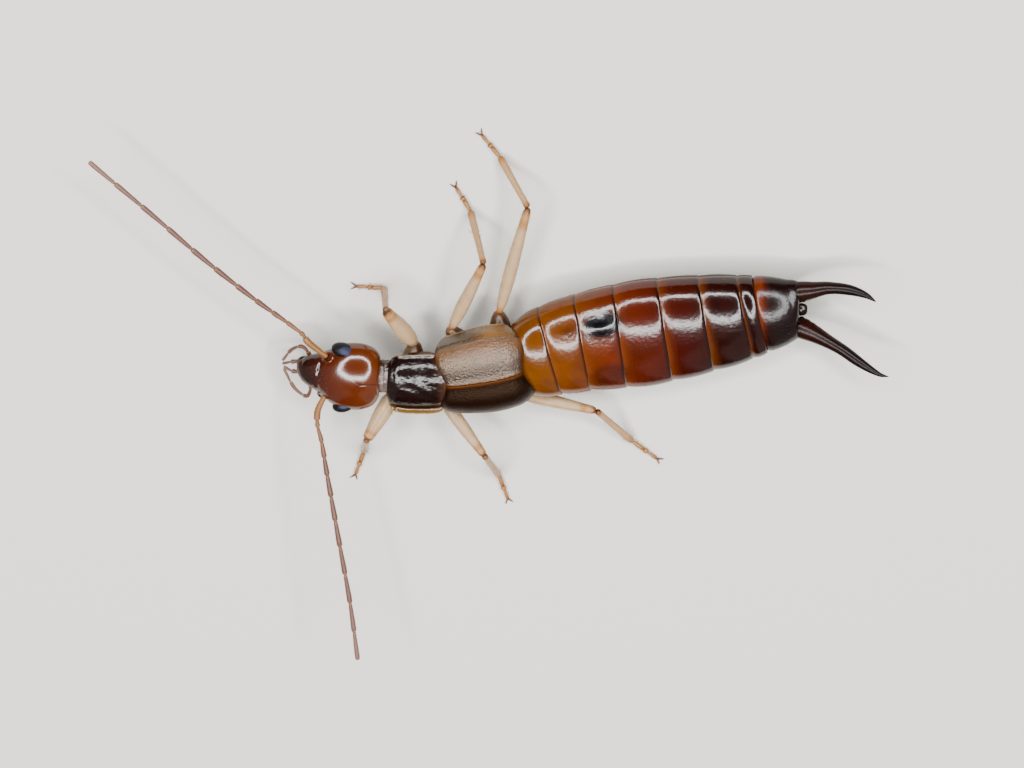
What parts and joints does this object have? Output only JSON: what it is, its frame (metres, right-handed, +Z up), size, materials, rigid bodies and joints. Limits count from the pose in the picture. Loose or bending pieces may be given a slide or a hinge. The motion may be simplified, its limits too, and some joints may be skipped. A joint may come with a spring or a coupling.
{
  "type": "earwig",
  "caption": "Still, life-size adult earwig standing on its feet and belly, with raised feelers, short wing cases and a pair of tapering forceps.",
  "frame": {"origin": "on the floor, under the middle of the whole animal's box", "axes": "+X towards the tail, +Y towards the animal's right side, +Z up from the floor"},
  "size_m": [0.0214, 0.0148, 0.0024],
  "materials": {
    "head_chitin": "glossy orange-brown cuticle",
    "eye": "glossy black with a slate-blue sheen",
    "feeler": "satin pinkish-brown cuticle",
    "shield_chitin": "polished black-brown cuticle with pale rims",
    "pale_chitin": "translucent straw-coloured cuticle",
    "underside_chitin": "satin dark brown cuticle",
    "wing_case_chitin": "finely grained coppery brown cuticle",
    "abdomen_chitin": "polished amber to dark red cuticle",
    "end_chitin": "polished near-black cuticle",
    "forceps_chitin": "polished red-brown cuticle, black at the tips"
  },
  "bodies": {
    "root": {"head": "head_chitin", "eye_right": "eye", "eye_left": "eye", "antenna_right": "feeler", "antenna_left": "feeler", "palp_right": "feeler", "palp_left": "feeler", "neck": "pale_chitin", "pronotum": "shield_chitin", "thorax": "underside_chitin", "wing_case_right": "wing_case_chitin", "wing_case_left": "wing_case_chitin", "abdomen": "abdomen_chitin", "end_segment": "end_chitin", "forceps_right": "forceps_chitin", "forceps_left": "forceps_chitin", "leg_front_right": "pale_chitin", "leg_middle_right": "pale_chitin", "leg_hind_right": "pale_chitin", "leg_front_left": "pale_chitin", "leg_middle_left": "pale_chitin", "leg_hind_left": "pale_chitin"}
  },
  "joints": []
}
